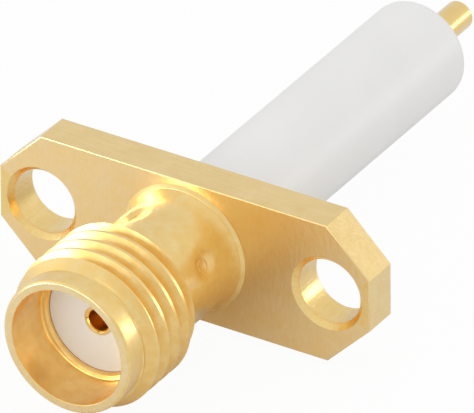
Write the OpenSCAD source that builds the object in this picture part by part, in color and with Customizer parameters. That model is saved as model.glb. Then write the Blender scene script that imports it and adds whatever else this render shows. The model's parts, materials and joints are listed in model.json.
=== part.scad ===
// SMA jack for panel mounting: a two-hole flange, a coupling thread in front and a long insulated
// tail behind. The connector's axis runs along Y with the mating end towards -Y. The origin is the
// centre of the flange's rear face, which lies on the panel. All lengths are millimetres.

/* [Mounting flange] */
// Length of the flange, along the line of its two screw holes
flange_l = 15.8; // [12:0.1:24]
// Width of the flange, across the line of its screw holes
flange_w = 5.72; // [5.4:0.02:9]
// Thickness of the flange
flange_t = 1.52; // [1:0.02:3]
// Length that each 45 degree corner cut takes off both sides
corner_cut = 1.8; // [0.5:0.05:2.2]
// Width of the small break along the flange's front and rear edges
edge_break = 0.08; // [0.02:0.01:0.15]
// Diameter of the screw holes
hole_d = 2.6; // [2:0.05:3]
// Distance from each end of the flange to the centre of its screw hole
hole_inset = 1.8; // [1.6:0.05:3]
// Width of the countersink at the front mouth of each screw hole
countersink = 0.2; // [0.05:0.01:0.3]
// Width of the break at the rear mouth of each screw hole
hole_break = 0.1; // [0.02:0.01:0.2]

/* [Threaded barrel] */
// Distance from the panel face to the front rim
front_l = 9.52; // [8:0.02:14]
// Major diameter of the coupling thread
thread_d = 6.2; // [5.6:0.01:8]
// Length of the threaded stretch, both its ends included
thread_l = 2.95; // [1:0.01:3.8]
// Length of the smooth lead in front of the thread
lead_l = 0.87; // [0.4:0.01:2]
// Wall of the smooth lead, around the bore
lead_wall = 0.38; // [0.2:0.01:0.6]
// Length of the sloped run from the lead up to the first thread
lead_slope = 0.42; // [0.2:0.01:0.8]
// Width of the 45 degree chamfer behind the thread
thread_chamfer = 0.1; // [0.05:0.01:0.3]
// Width of the break around the front rim
rim_break = 0.09; // [0.02:0.01:0.15]

/* [Neck] */
// Wall of the neck between the thread and the flange, around the dielectric
neck_wall = 0.29; // [0.25:0.01:0.6]
// Rise of the hollow curve from the neck out to the collar
flare_rise = 0.14; // [0.05:0.01:0.3]
// Radius of that curve
flare_r = 1.6; // [0.8:0.05:3]
// Width of the collar's sloped face, from the foot of the curve down to the flange
collar_w = 0.14; // [0.05:0.01:0.25]
// Height of the collar above the flange
collar_t = 0.12; // [0.05:0.01:0.3]
// Number of staking dents around the neck
dent_count = 4; // [2:1:6]
// Turn of the first staking dent from the flange's long side
dent_angle = 24; // [0:1:90]
// Distance from the flange's front face to the dents' centres
dent_h = 1.88; // [1.5:0.02:3.5]
// Width of each dent, along the neck
dent_w = 1.1; // [0.6:0.05:1.3]
// Depth of each dent below the neck
dent_depth = 0.13; // [0.05:0.01:0.2]

/* [Mating bore] */
// Depth of the reference plane below the front rim
bore_depth = 1.95; // [1.5:0.01:3]
// Width of the shoulder at the reference plane, from the dielectric's seat out to the bore
shoulder_w = 0.25; // [0.16:0.01:0.4]
// Width of the chamfer at the bore's mouth
mouth_chamfer = 0.03; // [0.02:0.01:0.15]
// Width of the chamfer where the dielectric's seat opens into the bore
seat_chamfer = 0.12; // [0.02:0.01:0.15]

/* [Dielectric] */
// Diameter of the dielectric, inside the body and behind the panel
dielectric_d = 4.1; // [3:0.02:5]
// Length of the dielectric behind the panel face
dielectric_l = 15.1; // [5:0.1:30]
// Radius of the round at the dielectric's rear edge
dielectric_round = 0.3; // [0.05:0.01:0.5]
// Depth of the dielectric's front face below the reference plane
dielectric_recess = 0.2; // [0:0.01:0.4]
// Gap all round between the dielectric and the body
dielectric_gap = 0.01; // [0.005:0.005:0.04]

/* [Centre contact] */
// Diameter of the socket's bore at rest; its fingers spring open over the plug's thicker pin
socket_d = 0.84; // [0.6:0.01:1.3]
// Wall of the socket, which also gives the rear pin its diameter
socket_wall = 0.16; // [0.08:0.005:0.3]
// Depth of the socket's bore
socket_depth = 2.9; // [2:0.1:6]
// Width of the chamfer inside the socket's mouth, which guides the plug's pin in
socket_chamfer = 0.04; // [0.02:0.01:0.05]
// Width of the break around the outside of the socket's mouth
nose_break = 0.03; // [0.01:0.01:0.03]
// Number of slots that split the socket into spring fingers
slot_count = 4; // [2:1:6]
// Width of each slot
slot_w = 0.13; // [0.06:0.01:0.2]
// Length of each slot, from the socket's mouth
slot_l = 2.2; // [1:0.1:5]
// Depth of the socket's mouth below the reference plane
contact_recess = 0.2; // [0:0.01:0.4]
// Length of the rear pin beyond the dielectric
pin_l = 2.95; // [1:0.05:10]
// Width of the chamfer at the rear pin's tip
pin_chamfer = 0.12; // [0.05:0.01:0.3]
// Height of the barb that locks the contact in the dielectric
barb_h = 0.12; // [0.05:0.01:0.3]
// Length of the barb, from its sharp front shoulder to the end of its taper
barb_l = 0.5; // [0.3:0.05:1.5]
// Distance from the reference plane back to the barb's front shoulder
barb_depth = 8; // [4:0.1:14]
// Gap all round between the contact and the dielectric
contact_gap = 0.01; // [0.005:0.005:0.04]

/* [Hidden] */

// Segments on a full turn.
fine = 96;
// Cutters reach this far past the face that they cut through.
past = 0.5;

// Places along the axis, counted forwards from the panel face.
reference_h = front_l - bore_depth;
thread_front_h = front_l - lead_l;
thread_rear_h = thread_front_h - thread_l;
collar_h = flange_t + collar_t;
dielectric_front_h = reference_h - dielectric_recess;
contact_front_h = reference_h - contact_recess;
barb_front_h = reference_h - barb_depth;
pin_end_h = -(dielectric_l + pin_l);

// Radii, worked outwards from the two pieces that the body holds.
socket_r = socket_d / 2;
contact_r = socket_r + socket_wall;
contact_seat_r = contact_r + contact_gap;
dielectric_r = dielectric_d / 2;
seat_r = dielectric_r + dielectric_gap;
neck_r = seat_r + neck_wall;
flare_foot_r = neck_r + flare_rise;
collar_r = flare_foot_r + collar_w;
bore_r = seat_r + shoulder_w;
lead_r = bore_r + lead_wall;
thread_r = thread_d / 2;
hole_r = hole_d / 2;

// The flare is an arc that leaves the neck along the axis and stops at the collar.
flare_l = sqrt(2 * flare_r * flare_rise - flare_rise * flare_rise);

// A ball of this radius leaves a dent of the stated width and depth in the neck.
dent_ball_r = (dent_w * dent_w / 4 + dent_depth * dent_depth) / (2 * dent_depth);

// Turns the flat shape given as a child about the connector's axis. The shape's x is the distance
// from the axis, and its y is the distance in front of the panel face.
module turned() {
    rotate([90, 0, 0])
        rotate_extrude($fn = fine)
            children();
}

// A closed profile given as [radius, distance in front of the panel face] points.
module turned_profile(points) {
    turned()
        polygon(points);
}

// The flange's blank: a rectangle with its four corners cut at 45 degrees.
module flange_blank() {
    x = flange_l / 2;
    z = flange_w / 2;
    c = corner_cut;
    rotate([90, 0, 0])
        linear_extrude(flange_t)
            polygon([
                [x, z - c], [x - c, z], [c - x, z], [-x, z - c],
                [-x, c - z], [c - x, -z], [x - c, -z], [x, c - z]
            ]);
}

// Distance from the axis to side k of the flange's eight sides, counted round from its right end.
function side_distance(k) =
    k % 2 == 1 ? (flange_l / 2 + flange_w / 2 - corner_cut) / sqrt(2)
    : k % 4 == 0 ? flange_l / 2
    : flange_w / 2;

// Square bars, turned on edge, that break the front and rear edges of all eight sides.
module edge_breaks() {
    bar = edge_break * sqrt(2);
    for (k = [0 : 7], h = [0, flange_t])
        rotate([0, -45 * k, 0])
            translate([side_distance(k), -h, 0])
                rotate([0, 0, 45])
                    cube([bar, bar, 2 * flange_l], center = true);
}

module flange_plate() {
    difference() {
        flange_blank();
        edge_breaks();
    }
}

// A cutter for one screw hole, with a countersink at the front and a small break at the rear.
module screw_hole() {
    turned_profile([
        [0, -past],
        [hole_r + hole_break + past, -past],
        [hole_r, hole_break],
        [hole_r, flange_t - countersink],
        [hole_r + countersink + past, flange_t + past],
        [0, flange_t + past]
    ]);
}

// The hollow curve from the neck out to the collar, as a ring around the neck.
module flare_section() {
    difference() {
        translate([seat_r, collar_h])
            square([flare_foot_r - seat_r, flare_l]);
        translate([neck_r + flare_r, collar_h + flare_l])
            circle(r = flare_r, $fn = fine);
    }
}

// Collar, neck, thread and lead as one turned form. The thread is drawn at its major diameter, and
// the collar's slope runs on into the flange's plate.
module barrel() {
    turned_profile([
        [0, 0],
        [collar_r + collar_w / 2, 0],
        [collar_r + collar_w / 2, flange_t - collar_t / 2],
        [flare_foot_r, collar_h],
        [neck_r, collar_h],
        [neck_r, thread_rear_h],
        [thread_r - thread_chamfer, thread_rear_h],
        [thread_r, thread_rear_h + thread_chamfer],
        [thread_r, thread_front_h - lead_slope],
        [lead_r, thread_front_h],
        [lead_r, front_l - rim_break],
        [lead_r - rim_break, front_l],
        [0, front_l]
    ]);
    turned()
        flare_section();
}

// The cutter through the body: a wide mouth for the plug's nose, the shoulder at the reference
// plane, then the narrower seat of the dielectric.
module body_bore() {
    turned_profile([
        [0, -past],
        [seat_r, -past],
        [seat_r, reference_h - seat_chamfer],
        [seat_r + seat_chamfer, reference_h],
        [bore_r, reference_h],
        [bore_r, front_l - mouth_chamfer],
        [bore_r + mouth_chamfer + past, front_l + past],
        [0, front_l + past]
    ]);
}

// Balls that press the staking dents into the neck, evenly spaced around it.
module staking_dents() {
    for (i = [0 : dent_count - 1])
        rotate([0, -(dent_angle + i * 360 / dent_count), 0])
            translate([neck_r - dent_depth + dent_ball_r, -(flange_t + dent_h), 0])
                sphere(r = dent_ball_r, $fn = fine);
}

module body() {
    color("gold")
        difference() {
            union() {
                flange_plate();
                barrel();
            }
            for (side = [-1, 1])
                translate([side * (flange_l / 2 - hole_inset), 0, 0])
                    screw_hole();
            body_bore();
            staking_dents();
        }
}

// The barb that locks the contact: a sharp shoulder towards the socket, then a taper towards the
// rear. It stands on a stem of radius r, and the same shape cuts its seat in the dielectric.
module barb_section(r) {
    polygon([
        [0, barb_front_h],
        [r + barb_h, barb_front_h],
        [r, barb_front_h - barb_l],
        [0, barb_front_h - barb_l]
    ]);
}

module dielectric() {
    round_h = dielectric_round - dielectric_l;
    color("whitesmoke")
        turned()
            difference() {
                union() {
                    translate([0, round_h])
                        square([dielectric_r, dielectric_front_h - round_h]);
                    translate([0, -dielectric_l])
                        square([dielectric_r - dielectric_round, dielectric_round]);
                    translate([dielectric_r - dielectric_round, round_h])
                        circle(r = dielectric_round, $fn = fine);
                }
                translate([0, -dielectric_l - past])
                    square([contact_seat_r, dielectric_l + dielectric_front_h + 2 * past]);
                barb_section(contact_seat_r);
            }
}

// The blind bore of the socket, with a chamfer at its mouth to guide the plug's pin in.
module socket_bore() {
    turned_profile([
        [0, contact_front_h - socket_depth],
        [socket_r, contact_front_h - socket_depth],
        [socket_r, contact_front_h - socket_chamfer],
        [socket_r + socket_chamfer + past, contact_front_h + past],
        [0, contact_front_h + past]
    ]);
}

// Slots that part the socket's wall into spring fingers.
module socket_slots() {
    for (i = [0 : slot_count - 1])
        rotate([0, 45 + i * 360 / slot_count, 0])
            translate([0, -contact_front_h - past, -slot_w / 2])
                cube([contact_r + past, slot_l + past, slot_w]);
}

module centre_contact() {
    color("goldenrod")
        difference() {
            union() {
                turned_profile([
                    [0, pin_end_h],
                    [contact_r - pin_chamfer, pin_end_h],
                    [contact_r, pin_end_h + pin_chamfer],
                    [contact_r, contact_front_h - nose_break],
                    [contact_r - nose_break, contact_front_h],
                    [0, contact_front_h]
                ]);
                turned()
                    barb_section(contact_r);
            }
            socket_bore();
            socket_slots();
        }
}

body();
dielectric();
centre_contact();
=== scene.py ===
"""Looks for the two-hole flange jack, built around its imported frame.

Pieces are shaped in millimetres and brought down to metres when they are done. The connector's
axis runs along Y with the mating end towards -Y, and the panel face lies at Y = 0.
"""
import json
import math

import bpy
from mathutils import Matrix, Vector


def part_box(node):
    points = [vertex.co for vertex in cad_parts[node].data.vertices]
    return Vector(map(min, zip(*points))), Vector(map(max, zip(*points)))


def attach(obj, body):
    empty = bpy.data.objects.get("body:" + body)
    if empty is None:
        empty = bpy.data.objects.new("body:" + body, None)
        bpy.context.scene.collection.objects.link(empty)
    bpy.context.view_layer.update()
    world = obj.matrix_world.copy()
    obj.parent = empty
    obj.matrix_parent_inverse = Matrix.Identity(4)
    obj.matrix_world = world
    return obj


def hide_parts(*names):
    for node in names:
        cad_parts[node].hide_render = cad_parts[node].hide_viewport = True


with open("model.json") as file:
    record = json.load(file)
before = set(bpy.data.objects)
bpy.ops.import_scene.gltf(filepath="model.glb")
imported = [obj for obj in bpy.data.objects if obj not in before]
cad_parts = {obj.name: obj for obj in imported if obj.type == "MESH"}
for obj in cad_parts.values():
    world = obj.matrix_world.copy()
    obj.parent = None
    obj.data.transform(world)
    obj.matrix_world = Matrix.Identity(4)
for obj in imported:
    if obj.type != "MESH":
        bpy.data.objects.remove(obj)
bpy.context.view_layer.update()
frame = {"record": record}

MM = 0.001
MOUNTS = {m["name"]: m for m in frame["record"]["mounts"]}


def box_mm(node):
    low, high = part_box(node)
    return Vector(low) / MM, Vector(high) / MM


# Sizes that the frame gives, in millimetres.
body_low, body_high = box_mm("body")
insulator_low, insulator_high = box_mm("dielectric")
contact_low, contact_high = box_mm("centre_contact")
RIM_Y = body_low.y
FLANGE_L = body_high.x - body_low.x
THREAD_R = MOUNTS["coupling_thread"]["dims"]["r_mm"]
BORE_R = MOUNTS["mating_bore"]["dims"]["r_mm"]
SOCKET_R = MOUNTS["contact_socket"]["dims"]["r_mm"]
HOLE_R = MOUNTS["flange_holes"]["dims"]["hole_r_mm"]
HOLE_X = MOUNTS["flange_holes"]["dims"]["spacing_x_mm"] / 2
ROD_R = insulator_high.x
ROD_END_Y = insulator_high.y
ROD_FRONT_Y = insulator_low.y
PIN_END_Y = contact_high.y
SOCKET_FRONT_Y = contact_low.y

# Sizes of the flange.
FLANGE_W = 5.72
FLANGE_T = 1.52
CORNER_CUT = 1.8
FLANGE_EDGE = 0.05
COUNTERSINK = 0.2
HOLE_BREAK = 0.1
HOLE_ROUND = 0.05

# Sizes of the barrel and the neck.
SEAT_R = 2.06
NECK_R = 2.35
COLLAR_FOOT_R = 2.49
COLLAR_R = 2.63
COLLAR_T = 0.12
COLLAR_ROUND = 0.02
FLARE_R = 1.6
LEAD_R = 2.69
LEAD_L = 0.87
LEAD_SLOPE = 0.42
LEAD_ROUND = 0.04
LEAD_END_Y = RIM_Y + LEAD_L
THREAD_FRONT_Y = LEAD_END_Y + LEAD_SLOPE
THREAD_REAR_Y = -5.5
THREAD_CHAMFER = 0.13
UNDERCUT_ROUND = 0.05
RIM_BREAK = 0.09
RIM_ROUND = 0.06
MOUTH_CHAMFER = 0.03
BORE_DEPTH = 1.95
BORE_ROUND = 0.03
SEAT_CHAMFER = 0.08
BORE_CORNER = 0.085

# The coupling thread: 36 turns to the inch, right-handed.
PITCH = 25.4 / 36
THREAD_ROOT_R = 2.72
ROOT_ROUND = 0.04
CREST_FLAT = PITCH / 5.5
CREST_ROUND = 0.012
CREST_AT_X = -6.06      # where a crest crosses the +X side, along Y
GROOVE_TURNS = 7
TURNS_AHEAD = 5         # turns of the groove that lie in front of that crest

# Staking dents. DENT_FIRST is in degrees from +X, and each dent has a ringed pip.
DENT_Y = -3.4
DENT_FIRST = 24
DENT_COUNT = 4
DENT_DEPTH = 0.25
DENT_REACH = 0.74
PIP_R = 0.23
PIP_GROOVE = 0.045
PIP_SINK = 0.19

# The insulator and the contact.
ROD_END_ROUND = 0.3
ROD_FRONT_ROUND = 0.015
ROD_BORE_FRONT = 0.03
ROD_BORE_REAR = 0.06
CONTACT_R = 0.58
PIN_CHAMFER = 0.12
TIP_CHAMFER = 0.04
SOCKET_DEPTH = 2.9
SOCKET_LEAD_IN = 0.05
SOCKET_LEAD_IN_L = 0.06
DRILL_POINT = 0.2
SLOT_W = 0.022
SLOT_L = 2.2

# The floor lies just under the lowest thread crest.
FLOOR_Z = body_low.z - 0.03

TURN_STEPS = 192        # steps in a full turn
PAST = 0.5              # how far a cutter reaches past the face that it opens
WELD = 1e-5             # points closer than this are one point
WELD_AFTER_CUT = 5e-4   # the same, where a cut leaves points almost in one place
NEAR = 0.01             # what counts as in line when edges and faces are picked
SMOOTH_ANGLE = 35


# ---------------------------------------------------------------- making shapes

def only(obj):
    bpy.ops.object.select_all(action="DESELECT")
    obj.select_set(True)
    bpy.context.view_layer.objects.active = obj


def edit(obj, pick="VERT"):
    only(obj)
    bpy.ops.object.mode_set(mode="EDIT")
    bpy.ops.mesh.select_mode(type=pick)


def done():
    bpy.ops.object.mode_set(mode="OBJECT")


def bend(start, corner, end, radius, steps=4):
    """Points of the arc that rounds one corner of an outline."""
    back = (start - corner).normalized()
    ahead = (end - corner).normalized()
    half = back.angle(ahead) / 2
    longest = 0.49 * min((start - corner).length, (end - corner).length)
    run = min(radius / math.tan(half), longest)
    real = run * math.tan(half)
    centre = corner + (back + ahead).normalized() * (real / math.sin(half))
    first = corner + back * run - centre
    last = corner + ahead * run - centre
    sweep = first.angle(last)
    turn = 1 if first.cross(last) > 0 else -1
    return [
        centre + Matrix.Rotation(turn * sweep * k / steps, 2) @ first
        for k in range(steps + 1)
    ]


def outline(corners, closed=False):
    """Corners are (radius, y) or (radius, y, round). Rounded ones become arcs."""
    places = [Vector(c[:2]) for c in corners]
    points = []
    for i, corner in enumerate(corners):
        inner = closed or 0 < i < len(corners) - 1
        if len(corner) > 2 and inner:
            after = places[(i + 1) % len(places)]
            points += bend(places[i - 1], places[i], after, corner[2])
        else:
            points.append(places[i])
    return points


def draw(name, points, closed):
    """Draws an outline as a string of edges, one extruded vertex after another."""
    bpy.ops.object.select_all(action="DESELECT")
    bpy.ops.mesh.primitive_plane_add(size=1)
    obj = bpy.context.active_object
    obj.name = name
    edit(obj)
    bpy.ops.mesh.merge(type="CENTER")
    here = Vector((0, 0))
    steps = points + points[:1] if closed else points
    for i, point in enumerate(steps):
        step = point - here
        here = point
        move = (step.x, step.y, 0)
        if i == 0:
            bpy.ops.transform.translate(value=move)
        else:
            bpy.ops.mesh.extrude_vertices_move(TRANSFORM_OT_translate={"value": move})
    bpy.ops.mesh.select_all(action="SELECT")
    bpy.ops.mesh.remove_doubles(threshold=WELD)
    done()
    return obj


def tidy(obj, merge=WELD):
    """Welds stray points, drops slivers and turns every face outwards."""
    edit(obj)
    bpy.ops.mesh.select_all(action="SELECT")
    bpy.ops.mesh.remove_doubles(threshold=merge)
    bpy.ops.mesh.dissolve_degenerate(threshold=WELD)
    bpy.ops.mesh.normals_make_consistent(inside=False)
    done()
    return obj


def turned(name, corners, closed=False):
    """A solid turned about Y. An open outline starts and ends on the axis."""
    obj = draw(name, outline(corners, closed), closed)
    edit(obj)
    bpy.ops.mesh.select_all(action="SELECT")
    bpy.ops.mesh.spin(
        steps=TURN_STEPS, angle=2 * math.pi, center=(0, 0, 0), axis=(0, 1, 0),
    )
    done()
    return tidy(obj)


def apply_all(obj):
    only(obj)
    for modifier in list(obj.modifiers):
        bpy.ops.object.modifier_apply(modifier=modifier.name)


def combine(obj, other, operation):
    """Joins other to obj, or cuts it away, and removes other."""
    modifier = obj.modifiers.new("combine", "BOOLEAN")
    modifier.operation = operation
    modifier.solver = "EXACT"
    modifier.object = other
    apply_all(obj)
    bpy.data.objects.remove(other, do_unlink=True)
    tidy(obj, merge=WELD_AFTER_CUT)


def shrink(obj):
    """Brings a finished piece from millimetres down to metres."""
    only(obj)
    obj.scale = (MM, MM, MM)
    bpy.ops.object.transform_apply(location=True, rotation=True, scale=True)


def smooth(obj):
    only(obj)
    bpy.ops.object.shade_smooth_by_angle(angle=math.radians(SMOOTH_ANGLE))
    modifier = obj.modifiers.new("normals", "WEIGHTED_NORMAL")
    modifier.keep_sharp = True
    apply_all(obj)


# ---------------------------------------------------------------- the body

def flange_plate():
    bpy.ops.object.select_all(action="DESELECT")
    bpy.ops.mesh.primitive_cube_add(size=1, location=(0, -FLANGE_T / 2, 0))
    plate = bpy.context.active_object
    plate.name = "flange_plate"
    plate.scale = (FLANGE_L, FLANGE_T, FLANGE_W)
    bpy.ops.object.transform_apply(location=True, rotation=True, scale=True)
    pick_edges(plate, lambda a, b: abs(a.x - b.x) < NEAR and abs(a.z - b.z) < NEAR)
    bpy.ops.mesh.bevel(offset=CORNER_CUT, segments=1, affect="EDGES")
    done()
    pick_edges(plate, lambda a, b: abs(a.y - b.y) < NEAR)
    bpy.ops.mesh.bevel(offset=FLANGE_EDGE, segments=3, affect="EDGES")
    done()
    return plate


def pick_edges(obj, wanted):
    """Selects the edges whose two ends pass the test, and stays in edit mode."""
    edit(obj, "EDGE")
    bpy.ops.mesh.select_all(action="DESELECT")
    done()
    verts = obj.data.vertices
    for edge in obj.data.edges:
        edge.select = wanted(verts[edge.vertices[0]].co, verts[edge.vertices[1]].co)
    bpy.ops.object.mode_set(mode="EDIT")


def barrel_blank():
    """The turned outside, from inside the flange to the rim, before dents and thread."""
    collar_front = -(FLANGE_T + COLLAR_T)
    rise = COLLAR_FOOT_R - NECK_R
    sweep = math.acos(1 - rise / FLARE_R)
    flare_steps = 6
    flare = []
    for k in range(flare_steps, -1, -1):
        turn = sweep * k / flare_steps
        flare.append((
            NECK_R + FLARE_R * (1 - math.cos(turn)),
            collar_front - FLARE_R * (math.sin(sweep) - math.sin(turn)),
        ))
    # Rings along the neck give the dents something to press into.
    rings = 26
    flare_end = flare[-1][1]
    neck = [
        (NECK_R, flare_end + (THREAD_REAR_Y - flare_end) * k / rings)
        for k in range(1, rings)
    ]
    return turned("barrel", [
        (0, -FLANGE_T / 2),
        (COLLAR_R + COLLAR_T / 2, -FLANGE_T / 2),
        (COLLAR_R + COLLAR_T / 2, COLLAR_T / 2 - FLANGE_T),
        (COLLAR_FOOT_R + COLLAR_ROUND, collar_front + COLLAR_ROUND / 4, COLLAR_ROUND),
        *flare,
        *neck,
        (NECK_R, THREAD_REAR_Y, UNDERCUT_ROUND),
        (THREAD_R - THREAD_CHAMFER, THREAD_REAR_Y),
        (THREAD_R, THREAD_REAR_Y - THREAD_CHAMFER),
        (THREAD_R, THREAD_FRONT_Y, LEAD_ROUND),
        (LEAD_R, LEAD_END_Y, LEAD_ROUND),
        (LEAD_R, RIM_Y + RIM_BREAK, RIM_ROUND),
        (LEAD_R - RIM_BREAK, RIM_Y, RIM_ROUND),
        (0, RIM_Y),
    ])


def thread_groove():
    """The helical cutter that leaves the thread standing."""
    half_top = (PITCH - CREST_FLAT) / 2
    half_root = half_top - (THREAD_R - THREAD_ROOT_R) * math.tan(math.radians(30))
    lip = 0.02
    top_r = THREAD_R + 0.004
    out_r = THREAD_R + 0.15
    start = CREST_AT_X + PITCH / 2 - TURNS_AHEAD * PITCH
    corners = [
        (out_r, start - half_top - lip),
        (top_r, start - half_top - lip),
        (top_r, start - half_top, CREST_ROUND),
        (THREAD_ROOT_R, start - half_root, ROOT_ROUND),
        (THREAD_ROOT_R, start + half_root, ROOT_ROUND),
        (top_r, start + half_top, CREST_ROUND),
        (top_r, start + half_top + lip),
        (out_r, start + half_top + lip),
    ]
    cutter = draw("thread_groove", outline(corners, closed=True), closed=True)
    screw = cutter.modifiers.new("helix", "SCREW")
    screw.axis = "Y"
    screw.angle = 2 * math.pi
    screw.screw_offset = PITCH
    screw.iterations = GROOVE_TURNS
    screw.steps = TURN_STEPS
    screw.render_steps = TURN_STEPS
    screw.use_merge_vertices = False
    apply_all(cutter)
    edit(cutter)
    bpy.ops.mesh.select_all(action="DESELECT")
    bpy.ops.mesh.select_non_manifold(extend=False)
    bpy.ops.mesh.fill_holes(sides=0)
    done()
    return tidy(cutter)


def screw_hole_cutter(x):
    cutter = turned("screw_hole", [
        (0, PAST),
        (HOLE_R + HOLE_BREAK + PAST, PAST),
        (HOLE_R, -HOLE_BREAK, HOLE_ROUND),
        (HOLE_R, COUNTERSINK - FLANGE_T, HOLE_ROUND),
        (HOLE_R + COUNTERSINK + PAST, -FLANGE_T - PAST),
        (0, -FLANGE_T - PAST),
    ])
    only(cutter)
    cutter.location.x = x
    bpy.ops.object.transform_apply(location=True, rotation=True, scale=True)
    return cutter


def bore_cutter():
    """The stepped bore: the plug's side in front of the reference plane, the seat behind it."""
    reference = RIM_Y + BORE_DEPTH
    return turned("bore", [
        (0, PAST),
        (SEAT_R, PAST),
        (SEAT_R, reference + SEAT_CHAMFER, BORE_ROUND),
        (SEAT_R + SEAT_CHAMFER, reference, BORE_ROUND),
        (BORE_R, reference, BORE_CORNER),
        (BORE_R, RIM_Y + MOUTH_CHAMFER, BORE_ROUND),
        (BORE_R + MOUTH_CHAMFER + PAST, RIM_Y - PAST),
        (0, RIM_Y - PAST),
    ])


def stake(barrel):
    """Presses the dents into the neck, then rings the pip that the punch leaves in each."""
    for i in range(DENT_COUNT):
        angle = math.radians(DENT_FIRST + i * 360 / DENT_COUNT)
        out = Vector((math.cos(angle), 0, math.sin(angle)))
        centre = out * NECK_R + Vector((0, DENT_Y, 0))
        edit(barrel)
        bpy.ops.mesh.select_all(action="DESELECT")
        done()
        nearest = min(barrel.data.vertices, key=lambda v: (v.co - centre).length)
        nearest.select = True
        bpy.ops.object.mode_set(mode="EDIT")
        bpy.ops.transform.translate(
            value=-out * DENT_DEPTH, use_proportional_edit=True,
            proportional_edit_falloff="SMOOTH", proportional_size=DENT_REACH,
        )
        done()
        bpy.ops.object.select_all(action="DESELECT")
        bpy.ops.mesh.primitive_torus_add(
            major_radius=PIP_R, minor_radius=PIP_GROOVE, major_segments=40, minor_segments=12,
            location=centre - out * PIP_SINK,
            rotation=out.to_track_quat("Z", "Y").to_euler(),
        )
        combine(barrel, bpy.context.active_object, "DIFFERENCE")


def body():
    piece = flange_plate()
    barrel = barrel_blank()
    stake(barrel)
    combine(barrel, thread_groove(), "DIFFERENCE")
    combine(piece, barrel, "UNION")
    for side in (-1, 1):
        combine(piece, screw_hole_cutter(side * HOLE_X), "DIFFERENCE")
    combine(piece, bore_cutter(), "DIFFERENCE")
    piece.name = "plated_body"
    shrink(piece)
    smooth(piece)
    return piece


# ---------------------------------------------------------------- the insulator and the contact

def insulator():
    piece = turned("ptfe_insulator", [
        (CONTACT_R, ROD_FRONT_Y + ROD_BORE_FRONT),
        (CONTACT_R + ROD_BORE_FRONT, ROD_FRONT_Y, 0.01),
        (ROD_R, ROD_FRONT_Y, ROD_FRONT_ROUND),
        (ROD_R, ROD_END_Y, ROD_END_ROUND),
        (CONTACT_R + ROD_BORE_REAR, ROD_END_Y, 0.02),
        (CONTACT_R, ROD_END_Y - ROD_BORE_REAR),
    ], closed=True)
    shrink(piece)
    smooth(piece)
    return piece


def contact():
    stem = turned("contact", [
        (0, PIN_END_Y),
        (CONTACT_R - PIN_CHAMFER, PIN_END_Y, 0.03),
        (CONTACT_R, PIN_END_Y - PIN_CHAMFER, 0.05),
        (CONTACT_R, SOCKET_FRONT_Y + TIP_CHAMFER, 0.02),
        (CONTACT_R - TIP_CHAMFER, SOCKET_FRONT_Y, 0.02),
        (SOCKET_R + SOCKET_LEAD_IN, SOCKET_FRONT_Y, 0.02),
        (SOCKET_R, SOCKET_FRONT_Y + SOCKET_LEAD_IN_L, 0.03),
        (SOCKET_R, SOCKET_FRONT_Y + SOCKET_DEPTH - DRILL_POINT, 0.1),
        (0, SOCKET_FRONT_Y + SOCKET_DEPTH),
    ])
    for turn in (0, 90):
        combine(stem, finger_slot(turn), "DIFFERENCE")
    stem.name = "plated_contact"
    shrink(stem)
    smooth(stem)
    return stem


def finger_slot(turn):
    """A thin blade across the socket, which parts its fingers."""
    bpy.ops.object.select_all(action="DESELECT")
    bpy.ops.mesh.primitive_cube_add(size=1, location=(0, SOCKET_FRONT_Y + SLOT_L / 2 - PAST, 0))
    cutter = bpy.context.active_object
    cutter.name = "finger_slot"
    cutter.scale = (3 * CONTACT_R, SLOT_L, SLOT_W)
    cutter.rotation_euler.y = math.radians(turn)
    bpy.ops.object.transform_apply(location=False, rotation=False, scale=True)
    bpy.ops.object.transform_apply(location=True, rotation=True, scale=False)
    return cutter


# ---------------------------------------------------------------- finishes

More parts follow.
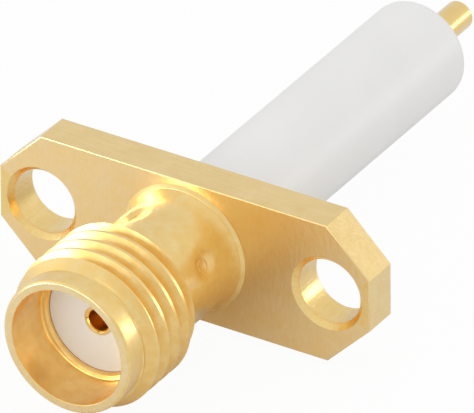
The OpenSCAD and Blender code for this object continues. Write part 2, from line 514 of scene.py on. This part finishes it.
class Finish:
    """A procedural material, with short names for the nodes that it is built from."""

    def __init__(self, name):
        self.material = bpy.data.materials.new(name)
        self.material.use_nodes = True
        self.nodes = self.material.node_tree.nodes
        self.links = self.material.node_tree.links
        self.shader = self.nodes["Principled BSDF"]
        place = self.nodes.new("ShaderNodeTexCoord")
        self.place = place.outputs["Object"]
        split = self.nodes.new("ShaderNodeSeparateXYZ")
        self.links.new(self.place, split.inputs[0])
        self.x, self.y, self.z = split.outputs

    def feed(self, socket, value):
        if isinstance(value, (int, float)):
            socket.default_value = value
        else:
            self.links.new(value, socket)

    def math(self, operation, a, b=0.0):
        node = self.nodes.new("ShaderNodeMath")
        node.operation = operation
        self.feed(node.inputs[0], a)
        self.feed(node.inputs[1], b)
        return node.outputs[0]

    def point(self, x, y, z):
        node = self.nodes.new("ShaderNodeCombineXYZ")
        for socket, value in zip(node.inputs, (x, y, z)):
            self.feed(socket, value)
        return node.outputs[0]

    def around(self):
        """Distance from the turning axis."""
        across = self.math("POWER", self.x, 2)
        upward = self.math("POWER", self.z, 2)
        return self.math("SQRT", self.math("ADD", across, upward))

    def noise(self, place, scale, detail=2.0, rough=0.5):
        node = self.nodes.new("ShaderNodeTexNoise")
        self.links.new(place, node.inputs["Vector"])
        node.inputs["Scale"].default_value = scale
        node.inputs["Detail"].default_value = detail
        node.inputs["Roughness"].default_value = rough
        return node.outputs["Fac"]

    def spread(self, value, low, high, from_low=0.3, from_high=0.7):
        """Stretches a value over the span from low to high."""
        node = self.nodes.new("ShaderNodeMapRange")
        self.links.new(value, node.inputs["Value"])
        node.inputs["From Min"].default_value = from_low
        node.inputs["From Max"].default_value = from_high
        node.inputs["To Min"].default_value = low
        node.inputs["To Max"].default_value = high
        return node.outputs["Result"]

    def blend(self, share, a, b):
        """A colour between a and b."""
        node = self.nodes.new("ShaderNodeMix")
        node.data_type = "RGBA"
        self.links.new(share, node.inputs[0])
        node.inputs[6].default_value = (*a, 1)
        node.inputs[7].default_value = (*b, 1)
        return node.outputs[2]

    def bump(self, height, depth_mm, strength=1.0, base=None):
        node = self.nodes.new("ShaderNodeBump")
        node.inputs["Strength"].default_value = strength
        node.inputs["Distance"].default_value = depth_mm * MM
        self.links.new(height, node.inputs["Height"])
        if base is not None:
            self.links.new(base, node.inputs["Normal"])
        return node.outputs["Normal"]

    def gold(self, roughness, marks, deep=(0.95, 0.66, 0.21), pale=(0.98, 0.73, 0.3)):
        """Gold plate whose colour and sheen follow the marks on the metal under it."""
        cloud = self.noise(self.place, 1300, 4, 0.6)
        half_cloud = self.math("MULTIPLY", cloud, 0.5)
        half_marks = self.math("MULTIPLY", marks, 0.5)
        shade = self.math("ADD", half_cloud, half_marks)
        colour = self.blend(self.spread(shade, 0, 1, 0.36, 0.64), deep, pale)
        sheen = self.spread(shade, roughness * 1.15, roughness * 0.85)
        self.links.new(colour, self.shader.inputs["Base Color"])
        self.links.new(sheen, self.shader.inputs["Roughness"])
        self.shader.inputs["Metallic"].default_value = 1
        self.shader.inputs["Coat Weight"].default_value = 1
        self.shader.inputs["Coat Roughness"].default_value = 0.22

    def normal(self, value):
        self.links.new(value, self.shader.inputs["Normal"])


def turned_gold():
    """Plate over the marks of the lathe: fine rings round the axis, and a slight mottle."""
    finish = Finish("turned_gold")
    rings = finish.noise(finish.point(finish.around(), finish.y, 0), 9000, 1, 0.5)
    mottle = finish.noise(finish.place, 2600, 1.5, 0.5)
    finish.gold(0.31, mottle)
    finish.normal(finish.bump(mottle, 0.003, 1, finish.bump(rings, 0.0018, 1)))
    return finish.material


def painted_shade_gold():
    """Deeper, darker plate in the thread's groove and the bore: painted shade for these
    hollows.
    """
    finish = Finish("painted_shade_gold")
    mottle = finish.noise(finish.place, 2600, 1.5, 0.5)
    finish.gold(0.33, mottle, deep=(0.94, 0.61, 0.18), pale=(0.98, 0.69, 0.25))
    finish.normal(finish.bump(mottle, 0.003))
    return finish.material


def painted_sheen_gold():
    """Pale plate on the front rim: painted sheen that makes the rim read bright."""
    finish = Finish("painted_sheen_gold")
    mottle = finish.noise(finish.place, 2600, 1.5, 0.5)
    finish.gold(0.28, mottle, deep=(0.93, 0.7, 0.33), pale=(0.97, 0.775, 0.42))
    finish.normal(finish.bump(mottle, 0.002))
    return finish.material


def reamed_gold():
    """Plate inside the screw holes: lines that run through from face to face."""
    finish = Finish("reamed_gold")
    drawn_out = finish.point(finish.x, finish.math("MULTIPLY", finish.y, 0.06), finish.z)
    lines = finish.noise(drawn_out, 7000, 4, 0.65)
    finish.gold(0.26, lines)
    finish.normal(finish.bump(lines, 0.02, 1))
    return finish.material


def milled_gold():
    """Plate over the milled edges of the flange: long fine lines."""
    finish = Finish("milled_gold")
    slant = finish.math("ADD", finish.y, finish.math("MULTIPLY", finish.x, 0.03))
    drawn_out = finish.point(finish.math("MULTIPLY", finish.x, 0.06), slant, finish.z)
    lines = finish.noise(drawn_out, 8000, 5, 0.7)
    finish.gold(0.32, lines, deep=(0.91, 0.65, 0.245), pale=(0.98, 0.75, 0.34))
    finish.normal(finish.bump(lines, 0.02, 1))
    return finish.material


def satin_gold():
    """Plate over the flat faces of the flange: an even satin grain."""
    finish = Finish("satin_gold")
    upright = finish.point(finish.x, finish.y, finish.math("MULTIPLY", finish.z, 0.35))
    grain = finish.noise(upright, 6500, 5, 0.7)
    finish.gold(0.34, grain, deep=(0.93, 0.665, 0.27), pale=(0.96, 0.73, 0.38))
    finish.normal(finish.bump(grain, 0.02, 1))
    return finish.material


def contact_gold():
    """Brighter plate on the small turned contact."""
    finish = Finish("contact_gold")
    rings = finish.noise(finish.point(finish.around(), finish.y, 0), 16000, 3, 0.6)
    finish.gold(0.24, rings)
    finish.normal(finish.bump(rings, 0.006, 1))
    return finish.material


def ptfe_finish():
    """White turned plastic with a dull sheen and hardly any marks."""
    finish = Finish("ptfe")
    cloud = finish.spread(finish.noise(finish.place, 350, 3), 0, 1)
    white = finish.blend(cloud, (0.895, 0.89, 0.872), (0.925, 0.92, 0.907))
    finish.links.new(white, finish.shader.inputs["Base Color"])
    finish.shader.inputs["Roughness"].default_value = 0.42
    rings = finish.noise(finish.point(finish.around(), finish.y, 0), 9000, 2, 0.6)
    finish.normal(finish.bump(rings, 0.003, 0.3))
    return finish.material


# ---------------------------------------------------------------- studio

ROOM_LEVEL = 0.86
FLOOR_PAINT = (0.86, 0.86, 0.86, 1)
DIM_END = (0.4, -0.9, -0.05)
LAMP_DISTANCE = 0.3


def view_axes(azimuth, elevation, roll):
    """Right, up and back of a camera that looks at the connector."""
    a, e, r = (math.radians(v) for v in (azimuth, elevation, roll))
    back = Vector((math.sin(a) * math.cos(e), -math.cos(a) * math.cos(e), math.sin(e)))
    level = Vector((math.cos(a), math.sin(a), 0))
    rise = back.cross(level)
    right = level * math.cos(r) + rise * math.sin(r)
    up = rise * math.cos(r) - level * math.sin(r)
    return right, up, back


def camera():
    right, up, back = view_axes(azimuth=31.989, elevation=31.31, roll=-0.552)
    distance = 560
    aim = right * 1.145 + up * 0.849
    place = (aim + back * distance) * MM
    data = bpy.data.cameras.new("camera")
    data.sensor_width = 36
    data.lens = 1168
    data.clip_start = 0.05
    obj = bpy.data.objects.new("camera", data)
    bpy.context.collection.objects.link(obj)
    turn = Matrix((right, up, back)).transposed().to_4x4()
    obj.matrix_world = Matrix.Translation(place) @ turn
    bpy.context.scene.camera = obj


def softbox(name, towards, width, height, level, sheen_only=False):
    """A soft lamp that faces the connector. Level is how bright its face is, where 1 is white.

    A sheen_only lamp shows in shiny surfaces and leaves matt ones at the room's plain level.
    """
    data = bpy.data.lights.new(name, "AREA")
    data.shape = "RECTANGLE"
    data.size = width
    data.size_y = height
    data.energy = level * math.pi * width * height
    obj = bpy.data.objects.new(name, data)
    bpy.context.collection.objects.link(obj)
    direction = Vector(towards).normalized()
    obj.location = direction * LAMP_DISTANCE
    obj.rotation_euler = direction.to_track_quat("Z", "Y").to_euler()
    obj.visible_camera = False
    obj.visible_diffuse = not sheen_only


def white_when_seen(tree, lit, white, camera_share, metal_share):
    """Mixes white over a lit shader, for what the camera, metal and clear things see."""
    nodes, links = tree.nodes, tree.links
    path = nodes.new("ShaderNodeLightPath")
    seen = None
    for name, share in (
        ("Is Camera Ray", camera_share),
        ("Is Glossy Ray", metal_share),
        ("Is Transmission Ray", metal_share),
    ):
        part = nodes.new("ShaderNodeMath")
        part.operation = "MULTIPLY"
        links.new(path.outputs[name], part.inputs[0])
        part.inputs[1].default_value = share
        if seen is None:
            seen = part.outputs[0]
            continue
        either = nodes.new("ShaderNodeMath")
        either.operation = "MAXIMUM"
        links.new(seen, either.inputs[0])
        links.new(part.outputs[0], either.inputs[1])
        seen = either.outputs[0]
    mix = nodes.new("ShaderNodeMixShader")
    links.new(seen, mix.inputs[0])
    links.new(lit, mix.inputs[1])
    links.new(white, mix.inputs[2])
    return mix.outputs[0]


def room_level(tree):
    """Brightness of the studio's walls. Metal also shows the two dimmer ends of the room."""
    nodes, links = tree.nodes, tree.links
    facing = nodes.new("ShaderNodeVectorMath")
    facing.operation = "DOT_PRODUCT"
    links.new(nodes.new("ShaderNodeTexCoord").outputs["Generated"], facing.inputs[0])
    facing.inputs[1].default_value = Vector(DIM_END).normalized()
    either_end = nodes.new("ShaderNodeMath")
    either_end.operation = "ABSOLUTE"
    links.new(facing.outputs["Value"], either_end.inputs[0])
    drop = nodes.new("ShaderNodeMapRange")
    drop.interpolation_type = "SMOOTHSTEP"
    links.new(either_end.outputs[0], drop.inputs["Value"])
    drop.inputs["From Min"].default_value = 0.3
    drop.inputs["From Max"].default_value = 1
    drop.inputs["To Min"].default_value = 0.04
    drop.inputs["To Max"].default_value = 0.18
    in_metal = nodes.new("ShaderNodeMath")
    in_metal.operation = "MULTIPLY"
    links.new(drop.outputs["Result"], in_metal.inputs[0])
    links.new(nodes.new("ShaderNodeLightPath").outputs["Is Glossy Ray"], in_metal.inputs[1])
    level = nodes.new("ShaderNodeMath")
    level.operation = "SUBTRACT"
    level.inputs[0].default_value = ROOM_LEVEL
    links.new(in_metal.outputs[0], level.inputs[1])
    return level.outputs[0]


def studio():
    bpy.ops.object.select_all(action="DESELECT")
    bpy.ops.mesh.primitive_plane_add(size=3, location=(0, 0, FLOOR_Z * MM))
    floor = bpy.context.active_object
    floor.name = "floor"
    material = bpy.data.materials.new("floor_white")
    material.use_nodes = True
    nodes, links = material.node_tree.nodes, material.node_tree.links
    nodes.clear()
    out = nodes.new("ShaderNodeOutputMaterial")
    white = nodes.new("ShaderNodeEmission")
    paint = nodes.new("ShaderNodeBsdfDiffuse")
    paint.inputs["Color"].default_value = FLOOR_PAINT
    shown = white_when_seen(
        material.node_tree, paint.outputs[0], white.outputs[0],
        camera_share=0.95, metal_share=0.07,
    )
    links.new(shown, out.inputs[0])
    floor.data.materials.append(material)

    world = bpy.data.worlds.new("studio")
    bpy.context.scene.world = world
    world.use_nodes = True
    tree = world.node_tree
    room = tree.nodes["Background"]
    room.inputs["Color"].default_value = (1, 1, 1, 1)
    tree.links.new(room_level(tree), room.inputs["Strength"])
    white = tree.nodes.new("ShaderNodeBackground")
    white.inputs["Color"].default_value = (1, 1, 1, 1)
    shown = white_when_seen(
        tree, room.outputs[0], white.outputs[0], camera_share=1, metal_share=0.25,
    )
    tree.links.new(shown, tree.nodes["World Output"].inputs[0])
    bpy.context.scene.view_settings.view_transform = "Standard"
    bpy.context.scene.cycles.glossy_bounces = 10
    bpy.context.scene.cycles.diffuse_bounces = 6

    softbox("key", (-0.76, -0.64, 0.13), 0.15, 0.11, 9, sheen_only=True)
    softbox("front", (-0.2, -0.96, 0.18), 0.15, 0.15, 2.1)
    softbox("side", (0.68, 0.72, 0.07), 0.09, 0.13, 2.5, sheen_only=True)


# ---------------------------------------------------------------- putting it together

# The groove-and-bore finish is deeper gold as painted shade; the rim finish is paler gold as
# painted sheen.
TURNED, MILLED, SATIN, REAMED, SHADED_RECESS, PAINTED_SHEEN = range(6)


def finish_of(middle, facing):
    """Which of the body's finishes a face has, from its middle in millimetres."""
    reach = math.hypot(middle.x, middle.z)
    in_flange = middle.y > -FLANGE_T - 0.001
    on_thread = THREAD_FRONT_Y - LEAD_SLOPE / 2 < middle.y < THREAD_REAR_Y
    looks_out = facing.x * middle.x + facing.z * middle.z > 0
    hole_edge = HOLE_R + COUNTERSINK + NEAR
    if in_flange and any(
        math.hypot(middle.x - side * HOLE_X, middle.z) < hole_edge for side in (-1, 1)
    ):
        return REAMED
    if in_flange and (reach > COLLAR_R + NEAR or facing.y > 0.5):
        return SATIN if abs(facing.y) > 0.5 else MILLED
    if on_thread and reach > THREAD_R - 0.015:
        return TURNED
    # The groove's flanks get the deeper gold, which is painted shade.
    if on_thread and reach > LEAD_R and looks_out:
        return SHADED_RECESS
    # The front rim gets the paler gold, which is painted sheen.
    if middle.y < RIM_Y + NEAR:
        return PAINTED_SHEEN
    # The bore inside the barrel gets the same deeper gold, painted shade.
    if reach < BORE_R + NEAR and not in_flange:
        return SHADED_RECESS
    return TURNED


ptfe = ptfe_finish()
body_finishes = [turned_gold()]
plated_body = body()
body_finishes += [milled_gold(), satin_gold(), reamed_gold(), painted_shade_gold(), painted_sheen_gold()]
for finish in body_finishes:
    plated_body.data.materials.append(finish)
for face in plated_body.data.polygons:
    face.material_index = finish_of(face.center / MM, face.normal)
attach(plated_body, "root")
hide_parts("body")
ptfe_insulator = insulator()
ptfe_insulator.data.materials.append(ptfe)
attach(ptfe_insulator, "root")
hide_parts("dielectric")
plated_contact = contact()
plated_contact.data.materials.append(contact_gold())
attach(plated_contact, "root")
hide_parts("centre_contact")
camera()
studio()
